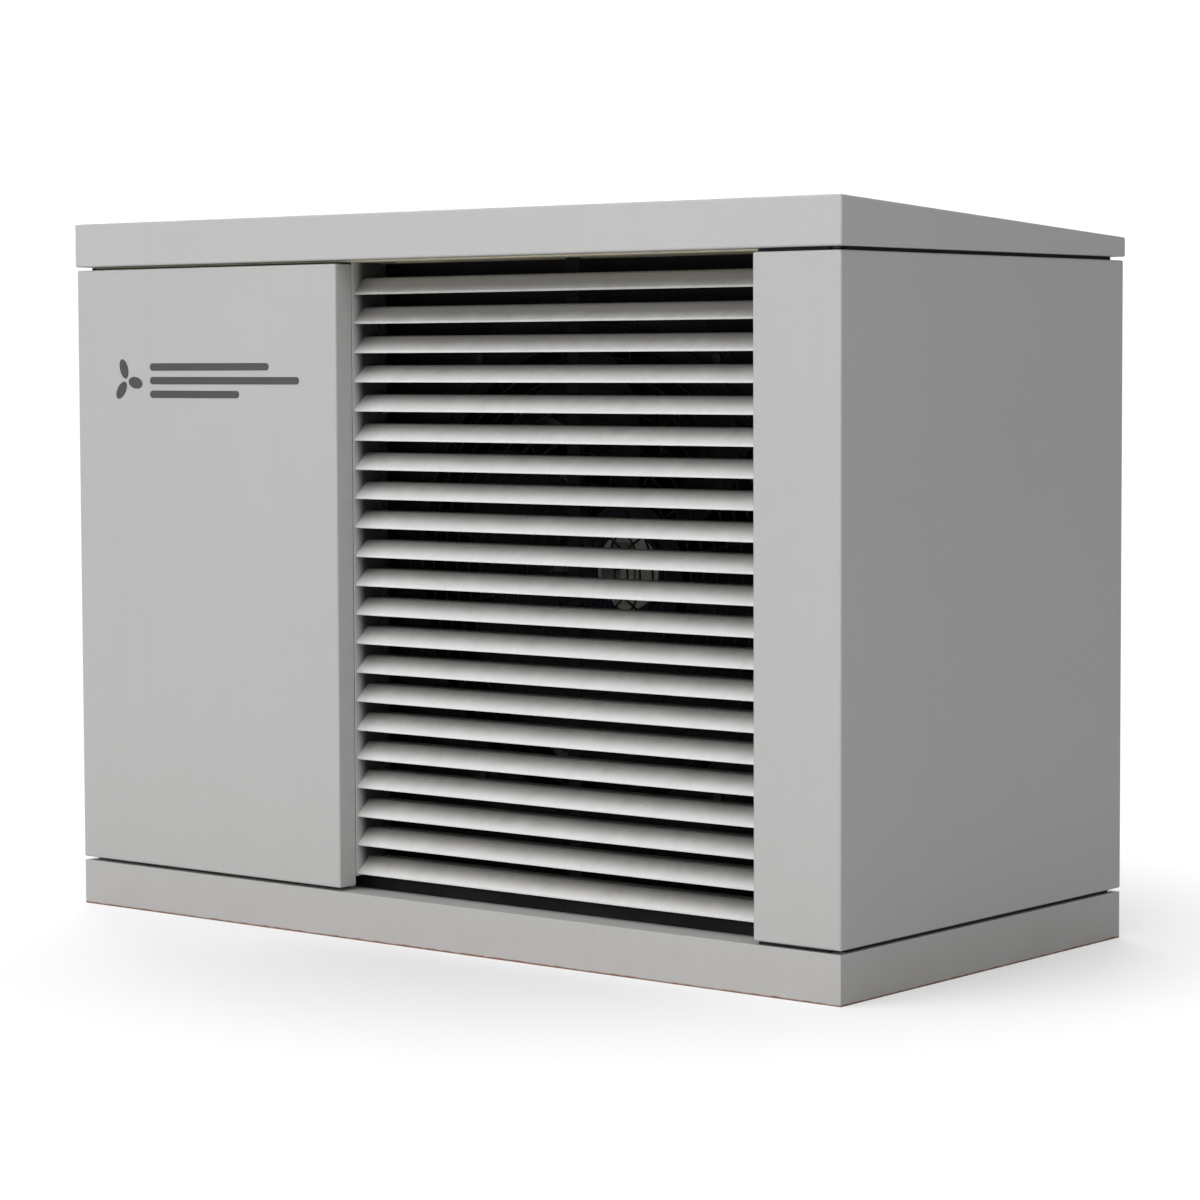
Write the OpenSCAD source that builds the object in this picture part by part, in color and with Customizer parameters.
// Outdoor unit of an air to water heat pump: a sheet metal cabinet with a
// louvred fan outlet, its cooling coil and its machine bay.
// Front of the cabinet faces -Y. The origin is the middle of the footprint.

/* [Cabinet] */
// Width over the side panels
body_w = 1400; // [1390:5:1750]
// Depth over the front and rear panels
body_d = 680; // [660:5:860]
// Height of the side panels
panel_h = 882; // [860:2:1080]
// Height of the plinth
plinth_h = 66; // [50:1:110]
// Shadow gap above and below the panels
joint_gap = 5; // [3:0.5:8]
// Thickness of the folded sheets
sheet = 2; // [1:0.2:3]
// Width of the service panel on the left
service_w = 532; // [520:2:620]
// Width of the corner return beside each louvre
corner_w = 138; // [100:2:180]
// Depth of the folded returns beside the louvre
recess = 32; // [24:1:40]
// Width of the small folds along the panel edges
fold_w = 18; // [16:1:20]

/* [Lid] */
// Height of the lid's front face
lid_front_h = 64; // [50:1:90]
// Height of the lid's rear face
lid_rear_h = 27; // [24:1:45]
// How far the lid stands proud of the panels
lid_lap = 2; // [1:0.5:5]
// Width of the lip folded in under the lid
lid_lip_w = 40; // [36:1:60]
// Thickness of the foam under the lid
liner_t = 10; // [6:1:12]

/* [Louvre] */
// Number of louvre blades on each side
blade_count = 21; // [12:1:22]
// Depth of a blade's sloping face
blade_run = 22.5; // [18:0.5:26]
// Rise of a blade's sloping face
blade_climb = 21; // [16:0.5:24]
// Depth of a blade's level rear part
blade_back = 23.5; // [18:0.5:25]
// Thickness of a blade
blade_t = 1.5; // [1:0.1:2.5]
// Height of the upright lip along a blade's front edge
blade_lip = 3; // [2:0.5:5]
// Depth of the louvre's jambs
jamb_d = 59; // [54:1:70]

/* [Fan] */
// Impeller diameter
fan_d = 630; // [500:5:640]
// Gap between blade tips and nozzle
tip_gap = 5; // [3:0.5:8]
// Number of fan blades
fan_blades = 7; // [5:1:9]
// Diameter of the rotor
rotor_d = 176; // [140:2:200]
// Length of the rotor
rotor_l = 84; // [60:2:100]
// Height of the fan's centre above the middle of the panels
fan_rise = 12; // [0:1:30]
// Depth of the nozzle plate behind the front face
nozzle_at = 133; // [126:1:160]
// Depth of the nozzle's throat behind its plate
throat_l = 129; // [100:1:140]
// Radial spacing of the guard's rings
ring_pitch = 22; // [18:1:30]
// Radius of the fan's shaft
shaft_r = 10; // [8:0.5:14]

/* [Coil] */
// Depth of the fin pack
coil_d = 66; // [50:1:80]
// Vertical spacing of the return bends
bend_pitch = 50; // [40:1:70]
// Outer radius of the coil's tubes
tube_r = 5; // [4:0.5:6]

/* [Machine bay] */
// Diameter of the compressor shell
comp_d = 170; // [140:2:190]
// Height of the compressor shell
comp_h = 440; // [320:5:450]
// Radius of the suction gas pipes
gas_r = 11; // [8:0.5:12]
// Radius of the hot gas pipes
hot_r = 8; // [6:0.5:9]
// Radius of the liquid pipes
liquid_r = 6; // [4:0.5:7]
// Outer radius of the water pipes
water_r = 14; // [11:0.5:14.5]
// Thread radius of the water connections
water_thread_r = 16.6; // [15:0.1:21]
// Width of the plate heat exchanger
plate_w = 112; // [112:1:124]
// Height of the plate heat exchanger
plate_h = 420; // [350:5:440]
// Height of the control box
control_h = 300; // [240:5:310]
// Depth of the control box
control_d = 160; // [120:5:170]

/* [Fixings] */
// Radius of the anchor holes in the plinth
anchor_r = 6.5; // [5:0.5:8]
// Distance of the anchor holes from the cabinet's sides
anchor_in = 80; // [70:1:140]
// Radius of the lid's locating pins
pin_r = 4; // [3:0.5:5]
// Clearance round pins and loose screws
pin_clear = 0.5; // [0.3:0.1:1]
// Radius of the nozzle's screws
screw_r = 4; // [3:0.5:5]

/* [Hidden] */
$fn = 96;

// Cabinet faces and levels
x_l = -body_w / 2;
x_r = body_w / 2;
y_f = -body_d / 2;
y_b = body_d / 2;
plinth_in = 1;
z_floor = plinth_h;
z_b0 = plinth_h + joint_gap;
z_b1 = z_b0 + panel_h;
z_l0 = z_b1 + joint_gap;
x_lv0 = x_l + service_w;
x_lv1 = x_r - corner_w;
panel_seam = 2;
gasket_in = 7;
gasket_w = 8;

// Plinth
plinth_top_w = 62;
plinth_foot_w = 52;
anchor_y_in = 30;

// Posts and top rails
post_w = 30;
post_wall = 2;
post_in_x = 24;
post_in_y = recess + 2;
rail_in = 20;
rail_front_w = 130;
rail_side_w = 42;
rail_up = 8;
rest_gap = 0.5;
glue_t = 0.1;
rail_z = z_l0 - rest_gap - sheet;
rail_split = 1;
slot_l = 100;
slot_w = 25;
slot_in_y = 85;
slot_in_x = 28;
pin_in_x = 120;
pin_in_y = 30;
pin_up = 10;

// Floors and divider
tray_in = 52;
tray_up = 17;
tray_end_x = x_r - post_in_x - post_w - 6;
tray_gap = sheet;
drain_r = 16;
drain_l = 30;
divider_x = x_lv0 - 30;
floor_in_x = post_in_x + post_w + 2;
floor_in_y = 40;
foot_z = z_floor + sheet;

// Louvre
blade_top_gap = 19;
blade_rows = blade_count;
blade_bottom = z_b0 + 16.5;
blade_rise = blade_lip + blade_climb;
blade_pitch = (z_b1 - blade_top_gap - blade_rise - blade_bottom) / (blade_rows - 1);
jamb_y = recess + 0.5;
jamb_flange = 18;
mullion_w = 23;
blade_y = jamb_y + 3.5;

// Fan
fan_x = (x_lv0 + x_lv1) / 2;
fan_z = (z_b0 + z_b1) / 2 + fan_rise;
throat_r = fan_d / 2 + tip_gap;
mouth_r = throat_r + 22;
plate_half = mouth_r + 23;
plate_cut = plate_half * 1.45;
nozzle_y = y_f + nozzle_at;
wall_y = nozzle_y + sheet;
throat_end = nozzle_y + throat_l;
nozzle_flange_r = throat_r + 25;
guard_t = 3;
guard_wire = 3;
guard_spokes = 16;
guard_hub_r = 34;
rotor_y = nozzle_y + 67;
rotor_flange_r = rotor_d / 2 + 7;
rotor_flange_t = 4;
rotor_wall = 6;
rotor_gap = 4;
impeller_ring_t = 5;
fan_pitch = 28;
fan_chord = 160;
fan_camber_r = 220;
fan_blade_t = 3;
fan_y_mid = rotor_y + 22;
stator_y = rotor_y + rotor_l + 2;
stator_r = 80;
stator_l = 44;
arm_w = 30;
arm_t = 6;
arm_y = stator_y + 14;
arm_off = 45;
arm_reach = mouth_r + 33;
bearing_r = 21;
bearing_w = 12;
bearing_fit = 0.05;
screw_at = nozzle_flange_r + 15.72;
screw_turn = 54.59;
screw_x = screw_at * cos(screw_turn);
screw_z = screw_at * sin(screw_turn);
screw_head_r = 7;
screw_head_h = 4;

// Coil
coil_y1 = y_b - recess - 1 - jamb_d - 10;
coil_y0 = coil_y1 - coil_d;
coil_x0 = divider_x + 80;
coil_x1 = tray_end_x - 38;
coil_z0 = foot_z + 18;
coil_z1 = rail_z - 26;
end_plate_lap = 8;
bend_count = floor((coil_z1 - coil_z0 - 40) / bend_pitch);
bend_r = 12.7;
header_r = 14;
header_x = divider_x + 43;
header_y = coil_y0 + coil_d * 0.27;
bend_mid_y = coil_y0 + coil_d * 0.6;
distributor_r = 8;
distributor_y = coil_y1 - 5;
feeder_count = 6;
feeder_l = coil_x0 - header_x;
port_stub = 25;

// Machine bay
comp_r = comp_d / 2;
comp_x = x_l + 172;
comp_y = y_f + 200;
comp_foot_h = 20;
comp_plate_t = 4;
comp_z = foot_z + comp_foot_h + comp_plate_t;
comp_foot_out = comp_r + 22;
comp_stub_x = 30;
comp_stub_l = 25;
comp_top = comp_z + comp_h;
suction_z = comp_z + 158;
acc_r = 50;
acc_x = comp_x + comp_r + 40 + acc_r;
acc_z0 = foot_z + 72;
acc_z1 = acc_z0 + 260;
stub_l = 20;
valve_x = comp_x + comp_stub_x;
valve_y = comp_y + 100;
valve_z = comp_top + comp_stub_l + 46;
valve_r = 20;
valve_l = 150;
valve_ports = 40;
coil_gas_z = valve_z + valve_r + stub_l + 29;
hot_bend = 20;
gas_bend = 25;
liquid_bend = 18;
plate_x = valve_x;
plate_port_x = valve_ports;
plate_d = 120;
plate_y1 = y_b - 100;
plate_y0 = plate_y1 - plate_d;
plate_z0 = foot_z + 52;
plate_port_low = plate_z0 + 40;
plate_port_high = plate_z0 + plate_h - 40;
drier_r = 25;
drier_x = divider_x - 100;
drier_y = comp_y + 180;
drier_z0 = foot_z + 150;
drier_l = 110;
exp_z0 = drier_z0 + drier_l + 50;
exp_r = 14;
exp_port_z = exp_z0 + 35;
return_x = x_l + 90;
flow_x = return_x + 80;
water_z = foot_z + 262;
water_low_z = foot_z + 37;
water_out_y = y_b - 5;
water_back_y = y_b - 50;
pump_y = y_b - 140;
pump_z = foot_z + 167;
pump_r = 48;
pump_motor_r = 42;
pump_stub = 12;
water_bend = 20;
cable_x = flow_x + 90;
cable_r = 12;
thread_l = 25;
cutout_r = 36;
ball_r = 21;
ball_l = 50;
return_valve_y = y_b - 90;
flow_valve_z = water_z + 85;
lever_l = 70;
lever_w = 16;
lever_t = 4;
stem_r = 5;
stem_l = 8;
hole_clear = 8;

// Control box
box_t = 1.5;
box_x0 = x_l + post_in_x + post_w + 6;
box_x1 = divider_x;
box_y0 = y_f + 42;
box_y1 = box_y0 + control_d;
box_z1 = rail_z;
box_z0 = box_z1 - control_h;
knob_x = box_x0 + 70;
knob_z = box_z0 + control_h / 2;
knob_r = 24;
knob_h = 14;
knob_shaft_r = 4;

// ---- helpers -------------------------------------------------------------

module block(x0, x1, y0, y1, z0, z1)
  translate([x0, y0, z0]) cube([x1 - x0, y1 - y0, z1 - z0]);

// Cylinder along Y from y0 to y1
module rod_y(x, z, y0, y1, r)
  translate([x, y1, z]) rotate([90, 0, 0]) cylinder(h = y1 - y0, r = r);

// Cylinder along X from x0 to x1
module rod_x(y, z, x0, x1, r)
  translate([x0, y, z]) rotate([0, 90, 0]) cylinder(h = x1 - x0, r = r);

module rod_z(x, y, z0, z1, r)
  translate([x, y, z0]) cylinder(h = z1 - z0, r = r);

function unit(v) = v / norm(v);

// Straight piece of tube between two points
module tube_piece(a, b, r) {
  d = b - a;
  l = norm(d);
  yaw = atan2(d[1], d[0]);
  tilt = acos(d[2] / l);
  translate(a) rotate([0, tilt, yaw]) cylinder(h = l, r = r);
}

// Quarter bend round the corner p, from direction d1 to direction d2
module tube_bend(p, d1, d2, r, bend) {
  c = p - d1 * bend + d2 * bend;
  a = cross(d1, d2);
  multmatrix([
    [-d2[0], d1[0], a[0], c[0]],
    [-d2[1], d1[1], a[1], c[1]],
    [-d2[2], d1[2], a[2], c[2]],
    [0, 0, 0, 1]
  ])
    rotate_extrude(angle = 90) translate([bend, 0]) circle(r = r);
}

// Tube through points joined by right angles, each corner bent to one radius
module tube_run(pts, r, bend) {
  last = len(pts) - 1;
  for (i = [0 : last - 1]) {
    d = unit(pts[i + 1] - pts[i]);
    a = i == 0 ? pts[i] : pts[i] + d * bend;
    b = i == last - 1 ? pts[i + 1] : pts[i + 1] - d * bend;
    tube_piece(a, b, r);
  }
  for (i = [1 : last - 1])
    tube_bend(pts[i], unit(pts[i] - pts[i - 1]), unit(pts[i + 1] - pts[i]), r, bend);
}

// Upright vessel with domed ends, from z0 to z1
module vessel(x, y, z0, z1, r) {
  dome = r * 0.35;
  arc = [for (a = [0 : 10 : 90]) [r * cos(a), dome * sin(a)]];
  translate([x, y, 0]) rotate_extrude() polygon(concat(
    [[0, z0]],
    [for (i = [9 : -1 : 0]) [arc[i][0], z0 + dome - arc[i][1]]],
    [for (p = arc) [p[0], z1 - dome + p[1]]],
    [[0, z1]]
  ));
}

// Mirror image across the middle plane Y = 0
module to_rear() mirror([0, 1, 0]) children();

// Mirror image across the middle plane X = 0
module to_left() mirror([1, 0, 0]) children();

// ---- plinth and frame ----------------------------------------------------

// Folded channel with its web on the front face, open towards the rear
module plinth_rail(web0, web1, foot0, foot1) {
  y0 = y_f + plinth_in;
  block(web0, web1, y0, y0 + sheet, 0, plinth_h);
  block(foot0, foot1, y0, y0 + plinth_top_w, plinth_h - sheet, plinth_h);
  difference() {
    block(foot0, foot1, y0, y0 + plinth_foot_w, 0, sheet);
    for (x = [x_l + anchor_in, x_r - anchor_in])
      rod_z(x, y_f + anchor_y_in, -1, sheet + 1, anchor_r);
  }
}

module plinth_front_left() color([0.62, 0.62, 0.61])
  plinth_rail(x_l + plinth_in, x_lv0, x_l + plinth_in + sheet, x_lv0);

module plinth_front_right() color([0.62, 0.62, 0.61])
  plinth_rail(x_lv0, x_r - plinth_in, x_lv0, x_r - plinth_in - sheet);

module plinth_rear() color([0.62, 0.62, 0.61])
  to_rear() plinth_rail(
    x_l + plinth_in, x_r - plinth_in,
    x_l + plinth_in + sheet, x_r - plinth_in - sheet
  );

module plinth_side() {
  x1 = x_r - plinth_in;
  web = y_b - plinth_in - sheet;
  top = y_b - plinth_in - plinth_top_w;
  foot = y_b - plinth_in - plinth_foot_w;
  block(x1 - sheet, x1, -web, web, 0, plinth_h);
  block(x1 - plinth_top_w, x1, -top, top, plinth_h - sheet, plinth_h);
  block(x1 - plinth_foot_w, x1, -foot, foot, 0, sheet);
}

module plinth_sides() color([0.6, 0.6, 0.59]) {
  plinth_side();
  to_left() plinth_side();
}

module drip_tray() color([0.72, 0.73, 0.74]) {
  x0 = divider_x + tray_gap;
  y1 = y_b - tray_in;
  top = z_floor + tray_up;
  difference() {
    block(x0, tray_end_x, -y1, y1, z_floor, top);
    block(x0 + sheet, tray_end_x - sheet, -y1 + sheet, y1 - sheet, foot_z, top + 1);
    rod_z(fan_x, 0, z_floor - 1, foot_z + 1, drain_r - sheet);
  }
  difference() {
    rod_z(fan_x, 0, z_floor - drain_l, z_floor, drain_r);
    rod_z(fan_x, 0, z_floor - drain_l - 1, z_floor + 1, drain_r - sheet);
  }
}

module machine_floor() color([0.7, 0.71, 0.72])
  block(x_l + floor_in_x, divider_x, y_f + floor_in_y, y_b - floor_in_y, z_floor, foot_z);

module corner_post() {
  x1 = x_r - post_in_x;
  y0 = y_f + post_in_y;
  difference() {
    block(x1 - post_w, x1, y0, y0 + post_w, z_floor, rail_z);
    block(x1 - post_w - 1, x1 - post_wall, y0 + post_wall, y0 + post_w + 1, z_floor - 1, rail_z + 1);
  }
}

module corner_posts() color([0.45, 0.46, 0.47]) {
  corner_post();
  to_left() corner_post();
  to_rear() corner_post();
  to_rear() to_left() corner_post();
}

// Long rail over one louvre, with its inner edge turned up
module top_rail_long() {
  y0 = y_f + rail_in;
  y1 = y0 + rail_front_w;
  difference() {
    block(x_l + rail_in, x_r - rail_in, y0, y1, rail_z, rail_z + sheet);
    slot_x = x_lv0 + slot_in_x;
    block(slot_x, slot_x + slot_l, y_f + slot_in_y - slot_w / 2, y_f + slot_in_y + slot_w / 2,
      rail_z - 1, rail_z + sheet + 1);
  }
  rim = x_r - rail_in - rail_side_w;
  block(-rim, rim, y1 - sheet, y1, rail_z + sheet, rail_z + sheet + rail_up);
}

module top_rail_side() {
  x1 = x_r - rail_in;
  x0 = x1 - rail_side_w;
  y1 = y_b - rail_in - rail_front_w - rail_split;
  block(x0, x1, -y1, y1, rail_z, rail_z + sheet);
  block(x0, x0 + sheet, -y1, y1, rail_z + sheet, rail_z + sheet + rail_up);
}

module top_rails() color([0.5, 0.51, 0.52]) {
  top_rail_long();
  to_rear() top_rail_long();
  top_rail_side();
  to_left() top_rail_side();
}

module divider_wall() color([0.66, 0.67, 0.68]) difference() {
  block(divider_x, divider_x + sheet, y_f + floor_in_y, y_b - floor_in_y, z_floor, rail_z);
  rod_x(header_y, coil_gas_z, divider_x - 1, divider_x + sheet + 1, gas_r + hole_clear);
  rod_x(distributor_y, exp_port_z, divider_x - 1, divider_x + sheet + 1, liquid_r + hole_clear);
}

// ---- cladding ------------------------------------------------------------

// Panel left of a louvre: face, return beside the louvre and edge folds
module left_face_panel() {
  f = fold_w;
  block(x_l, x_lv0, y_f, y_f + sheet, z_b0, z_b1);
  block(x_l, x_l + sheet, y_f, y_f + f, z_b0, z_b1);
  block(x_lv0 - sheet, x_lv0, y_f, y_f + recess, z_b0, z_b1);
  block(x_l, x_lv0, y_f, y_f + f, z_b1 - sheet, z_b1);
  block(x_l, x_lv0, y_f, y_f + f, z_b0, z_b0 + sheet);
}

module service_panel() color([0.74, 0.74, 0.73]) left_face_panel();

module rear_panel() color([0.74, 0.74, 0.73]) difference() {
  to_rear() left_face_panel();
  for (x = [return_x, flow_x])
    rod_y(x, water_z, y_b - sheet - 1, y_b + 1, cutout_r);
  rod_y(cable_x, water_z, y_b - sheet - 1, y_b + 1, cable_r);
}

module side_panel_left() color([0.7, 0.7, 0.69]) {
  y1 = y_b - fold_w - panel_seam;
  block(x_l, x_l + sheet, -y1, y1, z_b0, z_b1);
  block(x_l, x_l + fold_w, -y1, y1, z_b1 - sheet, z_b1);
  block(x_l, x_l + fold_w, -y1, y1, z_b0, z_b0 + sheet);
  block(x_l, x_l + fold_w, -y1, -y1 + sheet, z_b0, z_b1);
  block(x_l, x_l + fold_w, y1 - sheet, y1, z_b0, z_b1);
}

// Corner flange beside one louvre, with its return and edge folds
module corner_flange() {
  block(x_lv1, x_r, y_f, y_f + sheet, z_b0, z_b1);
  block(x_lv1, x_lv1 + sheet, y_f, y_f + recess, z_b0, z_b1);
  block(x_lv1, x_r, y_f, y_f + fold_w, z_b1 - sheet, z_b1);
  block(x_lv1, x_r, y_f, y_f + fold_w, z_b0, z_b0 + sheet);
}

module side_panel_right() color([0.7, 0.7, 0.69]) {
  corner_flange();
  to_rear() corner_flange();
  block(x_r - sheet, x_r, y_f, y_b, z_b0, z_b1);
  block(x_r - fold_w, x_r, y_f, y_b, z_b1 - sheet, z_b1);
  block(x_r - fold_w, x_r, y_f, y_b, z_b0, z_b0 + sheet);
}

// Foam strips that fill the shadow gap above and below the fixed panels
module gasket_set(z0, z1) {
  a = gasket_in;
  b = gasket_in + gasket_w;
  e = fold_w + panel_seam + 4;
  block(x_l + a, x_l + b, y_f + e, y_b - e, z0, z1);
  block(x_r - b, x_r - a, y_f + e, y_b - e, z0, z1);
  block(x_lv1 + 4, x_r - e, y_f + a, y_f + b, z0, z1);
  block(x_lv1 + 4, x_r - e, y_b - b, y_b - a, z0, z1);
  block(x_l + e, x_lv0 - 4, y_b - b, y_b - a, z0, z1);
}

module gaskets() color([0.12, 0.12, 0.12]) {
  gasket_set(z_floor, z_b0);
  gasket_set(z_b1, z_l0 - rest_gap);
}

// Height of the lid's upper face at one depth
function lid_top(y) = z_l0 + lid_front_h
  - (lid_front_h - lid_rear_h) * (y - y_f + lid_lap) / (body_d + 2 * lid_lap);

// Solid under the lid's slope, held in from the edges and below the top face
module lid_wedge(edge, drop, z0) {
  y0 = y_f - lid_lap + edge;
  y1 = y_b + lid_lap - edge;
  translate([x_l - lid_lap + edge, 0, 0]) rotate([90, 0, 90])
    linear_extrude(body_w + 2 * lid_lap - 2 * edge)
      polygon([[y0, z0], [y1, z0], [y1, lid_top(y1) - drop], [y0, lid_top(y0) - drop]]);
}

module lid() color([0.76, 0.76, 0.75]) {
  difference() {
    lid_wedge(0, 0, z_l0);
    lid_wedge(sheet, sheet, z_l0 - 1);
  }
  o = lid_lap;
  i = lid_lap - lid_lip_w;
  difference() {
    block(x_l - o, x_r + o, y_f - o, y_b + o, z_l0, z_l0 + sheet);
    block(x_l - i, x_r + i, y_f - i, y_b + i, z_l0 - 1, z_l0 + sheet + 1);
    for (x = [x_l + pin_in_x, x_r - pin_in_x])
      for (y = [y_f + pin_in_y, y_b - pin_in_y])
        rod_z(x, y, z_l0 - 1, z_l0 + sheet + 1, pin_r + pin_clear);
  }
}

module lid_liner() color([0.2, 0.2, 0.2]) {
  edge = sheet + 4;
  y0 = y_f - lid_lap + edge;
  y1 = y_b + lid_lap - edge;
  low = sheet + liner_t;
  translate([x_l - lid_lap + edge, 0, 0]) rotate([90, 0, 90])
    linear_extrude(body_w + 2 * lid_lap - 2 * edge)
      polygon([
        [y0, lid_top(y0) - low], [y1, lid_top(y1) - low],
        [y1, lid_top(y1) - sheet - glue_t], [y0, lid_top(y0) - sheet - glue_t]
      ]);
}

module lid_pins() color([0.6, 0.6, 0.6])
  for (x = [x_l + pin_in_x, x_r - pin_in_x])
    for (y = [y_f + pin_in_y, y_b - pin_in_y])
      rod_z(x, y, rail_z + sheet, rail_z + sheet + pin_up, pin_r);

// ---- louvres -------------------------------------------------------------

module louvre_jamb_set() {
  z0 = z_floor + tray_up + 2;
  y0 = y_f + jamb_y;
  y1 = y0 + jamb_d;
  block(x_lv0, x_lv0 + sheet, y0, y1, z0, rail_z);
  block(x_lv0 - jamb_flange, x_lv0, y1 - sheet, y1, z0, rail_z);
  block(x_lv1 - sheet, x_lv1, y0, y1, z0, rail_z);
  block(x_lv1, x_lv1 + jamb_flange, y1 - sheet, y1, z0, rail_z);
  y2 = y_f + blade_y + blade_run + blade_back;
  block(fan_x - mullion_w / 2, fan_x + mullion_w / 2, y2, y2 + sheet, z0, rail_z);
}

// Section of one blade: front lip, sloping face and level rear part
module blade_section() {
  a = atan2(blade_climb, blade_run);
  depth = blade_run + blade_back;
  polygon([
    [0, 0], [0, blade_lip], [blade_run, blade_rise], [depth, blade_rise],
    [depth, blade_rise - blade_t],
    [blade_run + blade_t * (1 / cos(a) - 1) / tan(a), blade_rise - blade_t],
    [blade_t, blade_lip + blade_t * (tan(a) - 1 / cos(a))], [blade_t, 0]
  ]);
}

module louvre_blade_set()
  for (i = [0 : blade_rows - 1])
    translate([x_lv0 + sheet, y_f + blade_y, blade_bottom + i * blade_pitch])
      rotate([90, 0, 90]) linear_extrude(x_lv1 - x_lv0 - 2 * sheet) blade_section();

module louvre_jambs() color([0.55, 0.56, 0.56]) louvre_jamb_set();

module louvre_blades() color([0.72, 0.72, 0.71]) louvre_blade_set();

module rear_jambs() color([0.55, 0.56, 0.56]) to_rear() louvre_jamb_set();

module rear_blades() color([0.7, 0.7, 0.69]) to_rear() louvre_blade_set();

// ---- fan -----------------------------------------------------------------

// Places children at the fan's centre on the nozzle plate, their Z along +Y
module at_fan() translate([fan_x, nozzle_y, fan_z]) rotate([-90, 0, 0]) children();

module screw_places()
  for (x = [-screw_x, screw_x])
    for (z = [-screw_z, screw_z])
      translate([x, z, 0]) children();

module fan_wall() color([0.3, 0.31, 0.32]) difference() {
  block(divider_x + sheet, tray_end_x, wall_y, wall_y + sheet, z_floor + tray_up, rail_z);
  at_fan() {
    cylinder(h = 4 * sheet, r = nozzle_flange_r);
    screw_places() cylinder(h = 4 * sheet, r = screw_r + pin_clear);
  }
}

module fan_nozzle() color([0.22, 0.22, 0.23]) at_fan() {
  flare = mouth_r - throat_r;
  linear_extrude(sheet) difference() {
    intersection() {
      square(2 * plate_half, center = true);
      rotate(45) square(plate_cut * sqrt(2), center = true);
    }
    circle(r = throat_r, $fn = 180);
    screw_places() circle(r = screw_r + pin_clear);
  }
  rotate_extrude($fn = 180) {
    translate([throat_r, 0]) square([sheet, throat_l - flare]);
    translate([mouth_r, throat_l - flare]) intersection() {
      difference() {
        circle(r = flare);
        circle(r = flare - sheet);
      }
      translate([-flare, 0]) square(flare);
    }
  }
}

module nozzle_screws() color([0.65, 0.66, 0.67]) at_fan() screw_places() {
  translate([0, 0, -screw_head_h]) cylinder(h = screw_head_h, r = screw_head_r);
  cylinder(h = 2 * sheet + 8, r = screw_r);
}

module fan_guard() color([0.16, 0.16, 0.17]) at_fan() {
  rings = floor((throat_r + 24 - guard_hub_r) / ring_pitch);
  reach = guard_hub_r + rings * ring_pitch + 7;
  for (i = [0 : rings]) {
    r = guard_hub_r + i * ring_pitch;
    translate([0, 0, -2 * guard_t]) difference() {
      cylinder(h = guard_t, r = r + guard_wire / 2);
      translate([0, 0, -1]) cylinder(h = guard_t + 2, r = r - guard_wire / 2);
    }
  }
  for (i = [0 : guard_spokes - 1])
    rotate([0, 0, i * 360 / guard_spokes])
      translate([guard_hub_r - guard_wire, -guard_wire / 2, -guard_t])
        cube([reach - guard_hub_r + guard_wire, guard_wire, guard_t]);
}

module fan_motor() color([0.35, 0.37, 0.4]) {
  core_y = rotor_y + rotor_flange_t + 4;
  back = stator_y + stator_l;
  difference() {
    union() {
      rod_y(fan_x, fan_z, core_y, stator_y, rotor_d / 2 - rotor_wall - rotor_gap);
      rod_y(fan_x, fan_z, stator_y, back, stator_r);
    }
    rod_y(fan_x, fan_z, core_y - 1, back - 4, bearing_r);
  }
  for (s = [-1, 1]) {
    x = fan_x + s * arm_off;
    z = arm_reach;
    difference() {
      block(x - arm_w / 2, x + arm_w / 2, arm_y, arm_y + arm_t, fan_z - z, fan_z + z);
      rod_y(fan_x, fan_z, arm_y - 1, arm_y + arm_t + 1, stator_r - 1);
    }
    for (t = [-1, 1]) {
      zc = fan_z + t * (z - arm_t / 2);
      block(x - arm_w / 2, x + arm_w / 2, wall_y + sheet, arm_y + arm_t,
        zc - arm_t / 2, zc + arm_t / 2);
    }
  }
}

module fan_bearings() color([0.7, 0.7, 0.72])
  for (y = [rotor_y + 12, stator_y + stator_l - 4 - bearing_w])
    difference() {
      rod_y(fan_x, fan_z, y, y + bearing_w, bearing_r);
      rod_y(fan_x, fan_z, y - 1, y + bearing_w + 1, shaft_r + bearing_fit);
    }

module fan_rotor() color([0.1, 0.3, 0.6]) {
  difference() {
    union() {
      rod_y(fan_x, fan_z, rotor_y, rotor_y + rotor_l, rotor_d / 2);
      rod_y(fan_x, fan_z, rotor_y, rotor_y + rotor_flange_t, rotor_flange_r);
    }
    rod_y(fan_x, fan_z, rotor_y + rotor_flange_t, rotor_y + rotor_l + 1, rotor_d / 2 - rotor_wall);
  }
  rod_y(fan_x, fan_z, rotor_y + rotor_flange_t, stator_y + stator_l - 6, shaft_r);
}

// Cambered section of one fan blade in the plane of depth and spin
module fan_blade_section()
  rotate(90 - fan_pitch) translate([0, -fan_camber_r + 7]) intersection() {
    difference() {
      circle(r = fan_camber_r, $fn = 360);
      circle(r = fan_camber_r - fan_blade_t, $fn = 360);
    }
    translate([-fan_chord / 2, 0]) square([fan_chord, fan_camber_r + 1]);
  }

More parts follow.
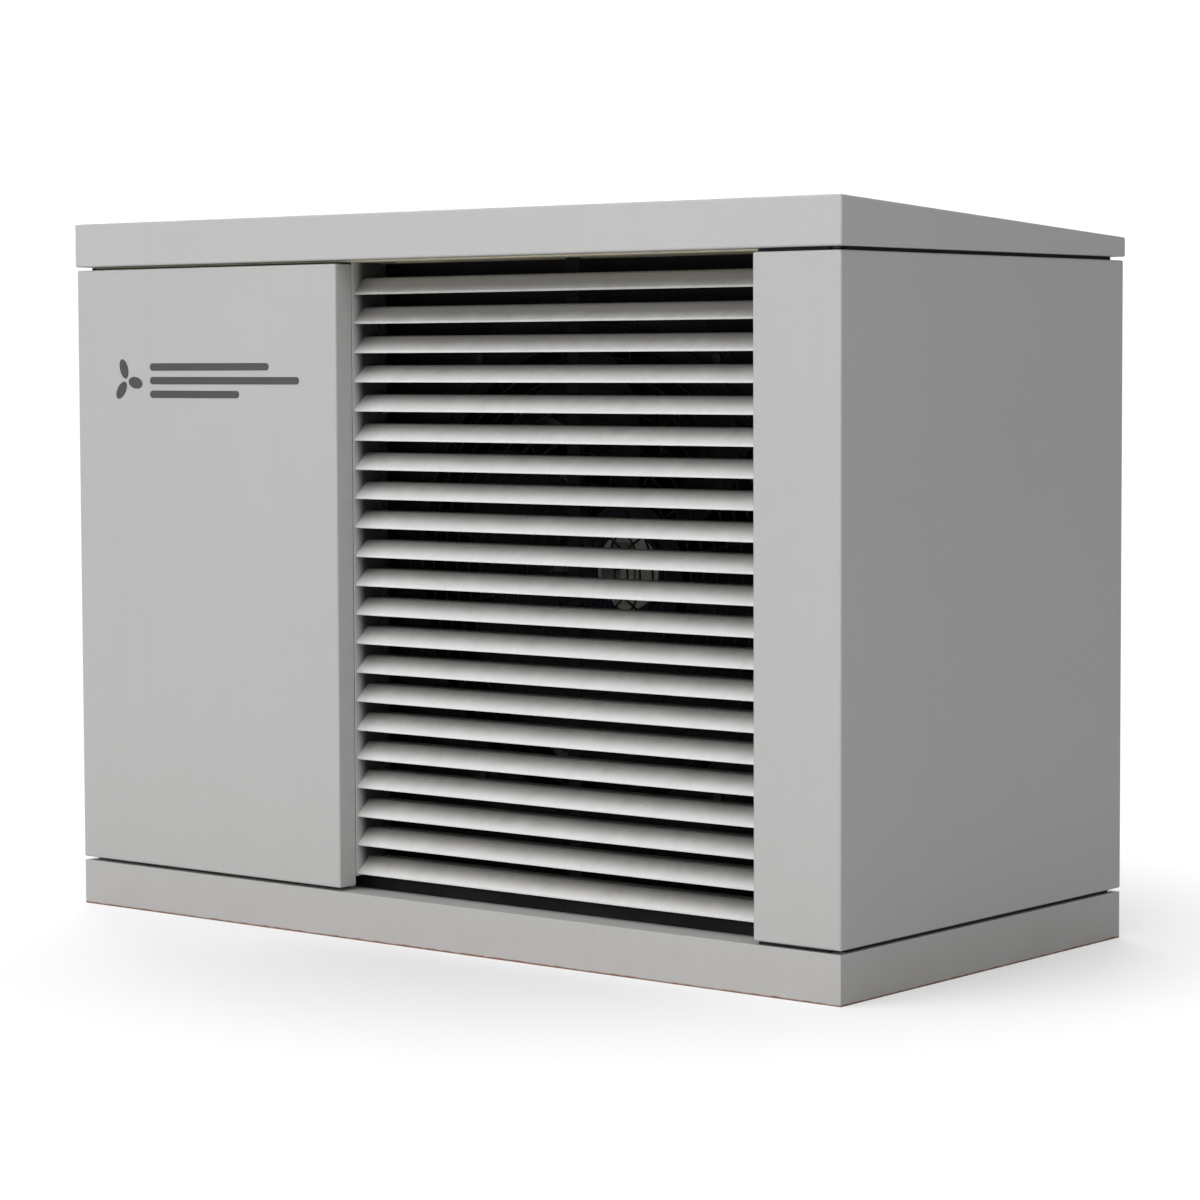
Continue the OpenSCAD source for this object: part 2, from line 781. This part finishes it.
module fan_impeller() color([0.14, 0.14, 0.15]) {
  ring_r = rotor_d / 2 + pin_clear;
  difference() {
    rod_y(fan_x, fan_z, rotor_y + rotor_flange_t, rotor_y + rotor_l - 4, ring_r + impeller_ring_t);
    rod_y(fan_x, fan_z, rotor_y, rotor_y + rotor_l, ring_r);
  }
  difference() {
    intersection() {
      translate([fan_x, fan_y_mid, fan_z])
        for (i = [0 : fan_blades - 1])
          rotate([0, i * 360 / fan_blades, 0])
            translate([rotor_d / 4, 0, 0]) rotate([90, 0, 90])
              linear_extrude(fan_d / 2) fan_blade_section();
      rod_y(fan_x, fan_z, nozzle_y, throat_end + 20, fan_d / 2);
    }
    rod_y(fan_x, fan_z, nozzle_y - 1, throat_end + 21, ring_r + impeller_ring_t / 2);
    rod_y(fan_x, fan_z, nozzle_y - 1, rotor_y + rotor_flange_t, rotor_flange_r + pin_clear);
  }
}

// ---- coil ----------------------------------------------------------------

module coil_fins() color([0.75, 0.77, 0.8])
  block(coil_x0, coil_x1, coil_y0, coil_y1, coil_z0, coil_z1);

module coil_end_plates() color([0.62, 0.63, 0.65])
  for (x = [coil_x0 - sheet, coil_x1])
    block(x, x + sheet, coil_y0 - end_plate_lap, coil_y1 + end_plate_lap,
      foot_z, coil_z1 + end_plate_lap);

// Half turn of tube standing off a plate, s is +1 to the right or -1 to the left
module u_bend(x, y, z, s)
  translate([x, y, z]) rotate([90, 0, 0]) rotate([0, 0, -90 * s])
    rotate_extrude(angle = 180) translate([bend_r, 0]) circle(r = tube_r, $fn = 32);

module coil_return_bends() color([0.72, 0.45, 0.28])
  for (i = [0 : bend_count - 1]) {
    z = coil_z0 + 20 + bend_pitch * (i + 0.5);
    u_bend(coil_x0 - sheet, bend_mid_y, z, -1);
    u_bend(coil_x1 + sheet, bend_mid_y, z, 1);
    u_bend(coil_x1 + sheet, header_y, z, 1);
  }

// Upright manifold with feeders into the coil and one stub through the divider
module manifold(y, r, feeder, port_z) {
  z0 = coil_z0 + 40;
  z1 = coil_z1 - 80;
  rod_z(header_x, y, z0, z1, r);
  for (i = [0 : feeder_count - 1]) {
    z = z0 + (z1 - z0) * (i + 0.5) / feeder_count;
    rod_x(y, z, header_x, header_x + feeder_l - sheet, feeder);
  }
  rod_x(y, port_z, header_x - port_stub, header_x, r - 1);
}

module coil_header() color([0.72, 0.45, 0.28])
  manifold(header_y, header_r, tube_r, coil_gas_z);

module coil_distributor() color([0.72, 0.45, 0.28])
  manifold(distributor_y, distributor_r, tube_r - 2, exp_port_z);

// ---- refrigerant parts ---------------------------------------------------

module compressor() color([0.15, 0.15, 0.16]) {
  plate_z = foot_z + comp_foot_h;
  rod_z(comp_x, comp_y, plate_z, plate_z + comp_plate_t + 12, comp_r * 0.7);
  rod_z(comp_x, comp_y, plate_z, plate_z + comp_plate_t, comp_foot_out);
  vessel(comp_x, comp_y, comp_z, comp_top, comp_r);
  rod_z(comp_x + comp_stub_x, comp_y, comp_top - 15, comp_top + comp_stub_l, hot_r + 2);
  rod_x(comp_y, suction_z, comp_x, comp_x + comp_r + stub_l, gas_r + 2);
  block(comp_x - 32, comp_x + 32, comp_y - comp_r - 20, comp_y - comp_r + 20,
    comp_z + 260, comp_z + 330);
}

module compressor_mounts() color([0.08, 0.08, 0.08])
  for (a = [45 : 90 : 315])
    rod_z(comp_x + (comp_foot_out - 15) * cos(a), comp_y + (comp_foot_out - 15) * sin(a),
      foot_z, foot_z + comp_foot_h, 13);

module accumulator() color([0.15, 0.15, 0.16]) {
  rod_z(acc_x, comp_y, foot_z, acc_z0 + 20, 18);
  rod_z(acc_x, comp_y, foot_z, foot_z + 3, 34);
  vessel(acc_x, comp_y, acc_z0, acc_z1, acc_r);
  rod_z(acc_x, comp_y, acc_z1 - 5, acc_z1 + stub_l, gas_r + 2);
  rod_x(comp_y, suction_z, acc_x - acc_r - 6, acc_x, gas_r + 2);
}

module reversing_valve() color([0.75, 0.6, 0.25]) {
  rod_x(valve_y, valve_z, valve_x - valve_l / 2, valve_x + valve_l / 2, valve_r);
  rod_y(valve_x, valve_z, valve_y - valve_r - stub_l, valve_y, hot_r + 2);
  top = valve_z + valve_r + stub_l;
  rod_z(valve_x - valve_ports, valve_y, valve_z, top, hot_r + 2);
  rod_z(valve_x, valve_y, valve_z, top, gas_r + 2);
  rod_z(valve_x + valve_ports, valve_y, valve_z, top, gas_r + 2);
  block(valve_x + 20, valve_x + 60, valve_y - valve_r - 24, valve_y - valve_r + 6,
    valve_z - 20, valve_z + 20);
}

module filter_drier() color([0.1, 0.45, 0.25]) {
  rod_z(drier_x, drier_y, drier_z0, drier_z0 + drier_l, drier_r);
  rod_z(drier_x, drier_y, drier_z0 - stub_l, drier_z0 + drier_l + stub_l, liquid_r + 2);
}

module expansion_valve() color([0.75, 0.6, 0.25]) {
  rod_z(drier_x, drier_y, drier_z0 + drier_l + stub_l, exp_z0, liquid_r + 2);
  rod_z(drier_x, drier_y, exp_z0, exp_z0 + 70, exp_r);
  rod_z(drier_x, drier_y, exp_z0 + 70, exp_z0 + 108, exp_r + 7);
  rod_x(drier_y, exp_port_z, drier_x, drier_x + exp_r + stub_l, liquid_r + 2);
}

module plate_exchanger() color([0.68, 0.69, 0.7]) {
  x0 = plate_x - plate_w / 2;
  x1 = plate_x + plate_w / 2;
  z1 = plate_z0 + plate_h;
  block(x0, x1, plate_y0, plate_y0 + 6, plate_z0, z1);
  block(x0 + 3, x1 - 3, plate_y0 + 6, plate_y1 - 6, plate_z0 + 3, z1 - 3);
  block(x0, x1, plate_y1 - 6, plate_y1, plate_z0, z1);
  block(x0, x1, plate_y0 + 20, plate_y1 - 20, foot_z, plate_z0 + 3);
  x2 = plate_x - plate_port_x;
  x3 = plate_x + plate_port_x;
  rod_y(x2, plate_port_high, plate_y0 - stub_l, plate_y0, hot_r + 2);
  rod_y(x3, plate_port_low, plate_y0 - stub_l, plate_y0, liquid_r + 2);
  rod_y(x3, plate_port_high, plate_y1, plate_y1 + stub_l, water_r + 1);
  rod_y(x3, plate_port_low, plate_y1, plate_y1 + stub_l, water_r + 1);
}

module discharge_pipe() color([0.72, 0.45, 0.28]) tube_run([
  [valve_x, comp_y, comp_top + comp_stub_l],
  [valve_x, comp_y, valve_z],
  [valve_x, valve_y - valve_r - stub_l, valve_z]
], hot_r, hot_bend);

module hot_gas_pipe() color([0.72, 0.45, 0.28]) {
  x = valve_x - valve_ports;
  y = plate_y0 - 60;
  z = valve_z + valve_r + stub_l;
  tube_run([
    [x, valve_y, z], [x, valve_y, z + 47], [x, y, z + 47],
    [x, y, plate_port_high], [x, plate_y0 - stub_l, plate_port_high]
  ], hot_r, hot_bend);
}

module suction_pipe() color([0.72, 0.45, 0.28]) {
  z = valve_z + valve_r + stub_l;
  tube_run([
    [valve_x, valve_y, z], [valve_x, valve_y, z + 72], [acc_x, valve_y, z + 72],
    [acc_x, valve_y, acc_z1 + 110], [acc_x, comp_y, acc_z1 + 110],
    [acc_x, comp_y, acc_z1 + stub_l]
  ], gas_r, gas_bend);
}

module suction_link() color([0.72, 0.45, 0.28])
  rod_x(comp_y, suction_z, comp_x + comp_r + stub_l, acc_x - acc_r - 6, gas_r);

module coil_gas_pipe() color([0.72, 0.45, 0.28]) {
  x = valve_x + valve_ports;
  tube_run([
    [x, valve_y, valve_z + valve_r + stub_l], [x, valve_y, coil_gas_z],
    [x, header_y, coil_gas_z], [header_x - port_stub, header_y, coil_gas_z]
  ], gas_r, gas_bend);
}

module liquid_pipe() color([0.72, 0.45, 0.28]) tube_run([
  [plate_x + plate_port_x, plate_y0 - stub_l, plate_port_low],
  [plate_x + plate_port_x, drier_y, plate_port_low],
  [drier_x, drier_y, plate_port_low],
  [drier_x, drier_y, drier_z0 - stub_l]
], liquid_r, liquid_bend);

module coil_liquid_pipe() color([0.72, 0.45, 0.28]) tube_run([
  [drier_x + exp_r + stub_l, drier_y, exp_port_z],
  [divider_x - 34, drier_y, exp_port_z],
  [divider_x - 34, distributor_y, exp_port_z],
  [header_x - port_stub, distributor_y, exp_port_z]
], liquid_r, liquid_bend);

// ---- water parts ---------------------------------------------------------

module circulation_pump() color([0.55, 0.1, 0.1]) {
  reach = pump_r + pump_stub;
  rod_y(return_x, pump_z, pump_y - 26, pump_y + 26, pump_r);
  rod_y(return_x, pump_z, pump_y - 106, pump_y - 26, pump_motor_r);
  rod_z(return_x, pump_y, pump_z - reach, pump_z + reach, water_r + 2);
}

// Threaded end that shows in the rear panel
module water_end(x) difference() {
  rod_y(x, water_z, water_out_y - thread_l, water_out_y, water_thread_r);
  rod_y(x, water_z, water_out_y - thread_l / 2, water_out_y + 1, water_r - 2);
}

module return_water_pipe() color([0.7, 0.71, 0.72]) {
  x2 = plate_x + plate_port_x;
  reach = pump_r + pump_stub;
  water_end(return_x);
  rod_y(return_x, water_z, return_valve_y + ball_l / 2, water_out_y - thread_l, water_r);
  tube_run([
    [return_x, return_valve_y - ball_l / 2, water_z], [return_x, pump_y, water_z],
    [return_x, pump_y, pump_z + reach]
  ], water_r, water_bend);
  tube_run([
    [return_x, pump_y, pump_z - reach], [return_x, pump_y, water_low_z],
    [return_x, water_back_y, water_low_z], [x2, water_back_y, water_low_z],
    [x2, water_back_y, plate_port_low], [x2, plate_y1 + stub_l, plate_port_low]
  ], water_r, water_bend);
}

module flow_water_pipe() color([0.7, 0.71, 0.72]) {
  x2 = plate_x + plate_port_x;
  water_end(flow_x);
  tube_run([
    [flow_x, water_back_y, flow_valve_z - ball_l / 2], [flow_x, water_back_y, water_z],
    [flow_x, water_out_y - thread_l / 2, water_z]
  ], water_r, water_bend);
  tube_run([
    [flow_x, water_back_y, flow_valve_z + ball_l / 2], [flow_x, water_back_y, plate_port_high],
    [x2, water_back_y, plate_port_high], [x2, plate_y1 + stub_l, plate_port_high]
  ], water_r, water_bend);
}

module return_valve() color([0.78, 0.62, 0.25])
  translate([return_x, return_valve_y, water_z]) {
    sphere(r = ball_r);
    rotate([90, 0, 0]) cylinder(h = ball_l, r = water_r + 3, center = true);
    cylinder(h = ball_r + stem_l, r = stem_r);
  }

module flow_valve() color([0.78, 0.62, 0.25])
  translate([flow_x, water_back_y, flow_valve_z]) {
    sphere(r = ball_r);
    cylinder(h = ball_l, r = water_r + 3, center = true);
    rotate([90, 0, 0]) cylinder(h = ball_r + stem_l, r = stem_r);
  }

// Flat lever with its hub at the origin, reaching along -Y
module lever_blank() {
  cylinder(h = lever_t, r = lever_w / 2 + 2);
  translate([-lever_w / 2, -lever_l, 0]) cube([lever_w, lever_l, lever_t]);
}

module return_lever() color([0.7, 0.1, 0.1])
  translate([return_x, return_valve_y, water_z + ball_r + stem_l + rest_gap]) lever_blank();

module flow_lever() color([0.7, 0.1, 0.1])
  translate([flow_x, water_back_y - ball_r - stem_l - rest_gap, flow_valve_z])
    rotate([-90, 0, 0]) translate([0, 0, -lever_t]) lever_blank();

// ---- electrics -----------------------------------------------------------

module control_box() color([0.6, 0.61, 0.62]) difference() {
  block(box_x0, box_x1, box_y0, box_y1, box_z0, box_z1);
  block(box_x0 + box_t, box_x1 - box_t, box_y0 - 1, box_y1 - box_t, box_z0 + box_t, box_z1 - box_t);
}

module control_cover() color([0.64, 0.65, 0.66]) difference() {
  block(box_x0, box_x1, box_y0 - box_t, box_y0, box_z0, box_z1);
  rod_y(knob_x, knob_z, box_y0 - box_t - 1, box_y0 + 1, knob_shaft_r + pin_clear);
}

module isolator_knob() color([0.8, 0.1, 0.08]) {
  y1 = box_y0 - box_t - rest_gap;
  rod_y(knob_x, knob_z, y1 - knob_h * 0.5, y1, knob_r);
  block(knob_x - 6, knob_x + 6, y1 - knob_h, y1, knob_z - knob_r + 2, knob_z + knob_r - 2);
  rod_y(knob_x, knob_z, y1, box_y0 + 18, knob_shaft_r);
}

module inverter() color([0.1, 0.35, 0.2]) {
  y1 = box_y1 - box_t;
  block(box_x0 + 140, box_x1 - 20, y1 - 24, y1, box_z0 + 24, box_z1 - 24);
  block(box_x0 + 170, box_x1 - 150, y1 - 84, y1 - 24, box_z0 + 60, box_z0 + 200);
  for (x = [box_x1 - 120 : 36 : box_x1 - 48])
    rod_y(x, box_z0 + 110, y1 - 74, y1 - 24, 15);
}

module terminal_block() color([0.82, 0.82, 0.8]) {
  y1 = box_y1 - box_t;
  block(knob_x - 30, knob_x + 30, box_y0 + 24, y1, knob_z - 35, knob_z + 35);
  block(box_x0 + 20, box_x0 + 120, y1 - 34, y1, box_z0 + 20, box_z0 + 50);
}

// ---- draw ----------------------------------------------------------------

plinth_front_left();
plinth_front_right();
plinth_rear();
plinth_sides();
drip_tray();
machine_floor();
corner_posts();
top_rails();
divider_wall();
side_panel_left();
side_panel_right();
rear_panel();
service_panel();
gaskets();
lid();
lid_liner();
lid_pins();
louvre_jambs();
louvre_blades();
rear_jambs();
rear_blades();
fan_wall();
fan_nozzle();
nozzle_screws();
fan_guard();
fan_motor();
fan_bearings();
fan_rotor();
fan_impeller();
coil_fins();
coil_end_plates();
coil_return_bends();
coil_header();
coil_distributor();
compressor();
compressor_mounts();
accumulator();
reversing_valve();
expansion_valve();
filter_drier();
plate_exchanger();
circulation_pump();
discharge_pipe();
hot_gas_pipe();
suction_pipe();
suction_link();
coil_gas_pipe();
liquid_pipe();
coil_liquid_pipe();
return_water_pipe();
flow_water_pipe();
return_valve();
flow_valve();
return_lever();
flow_lever();
control_box();
control_cover();
isolator_knob();
inverter();
terminal_block();
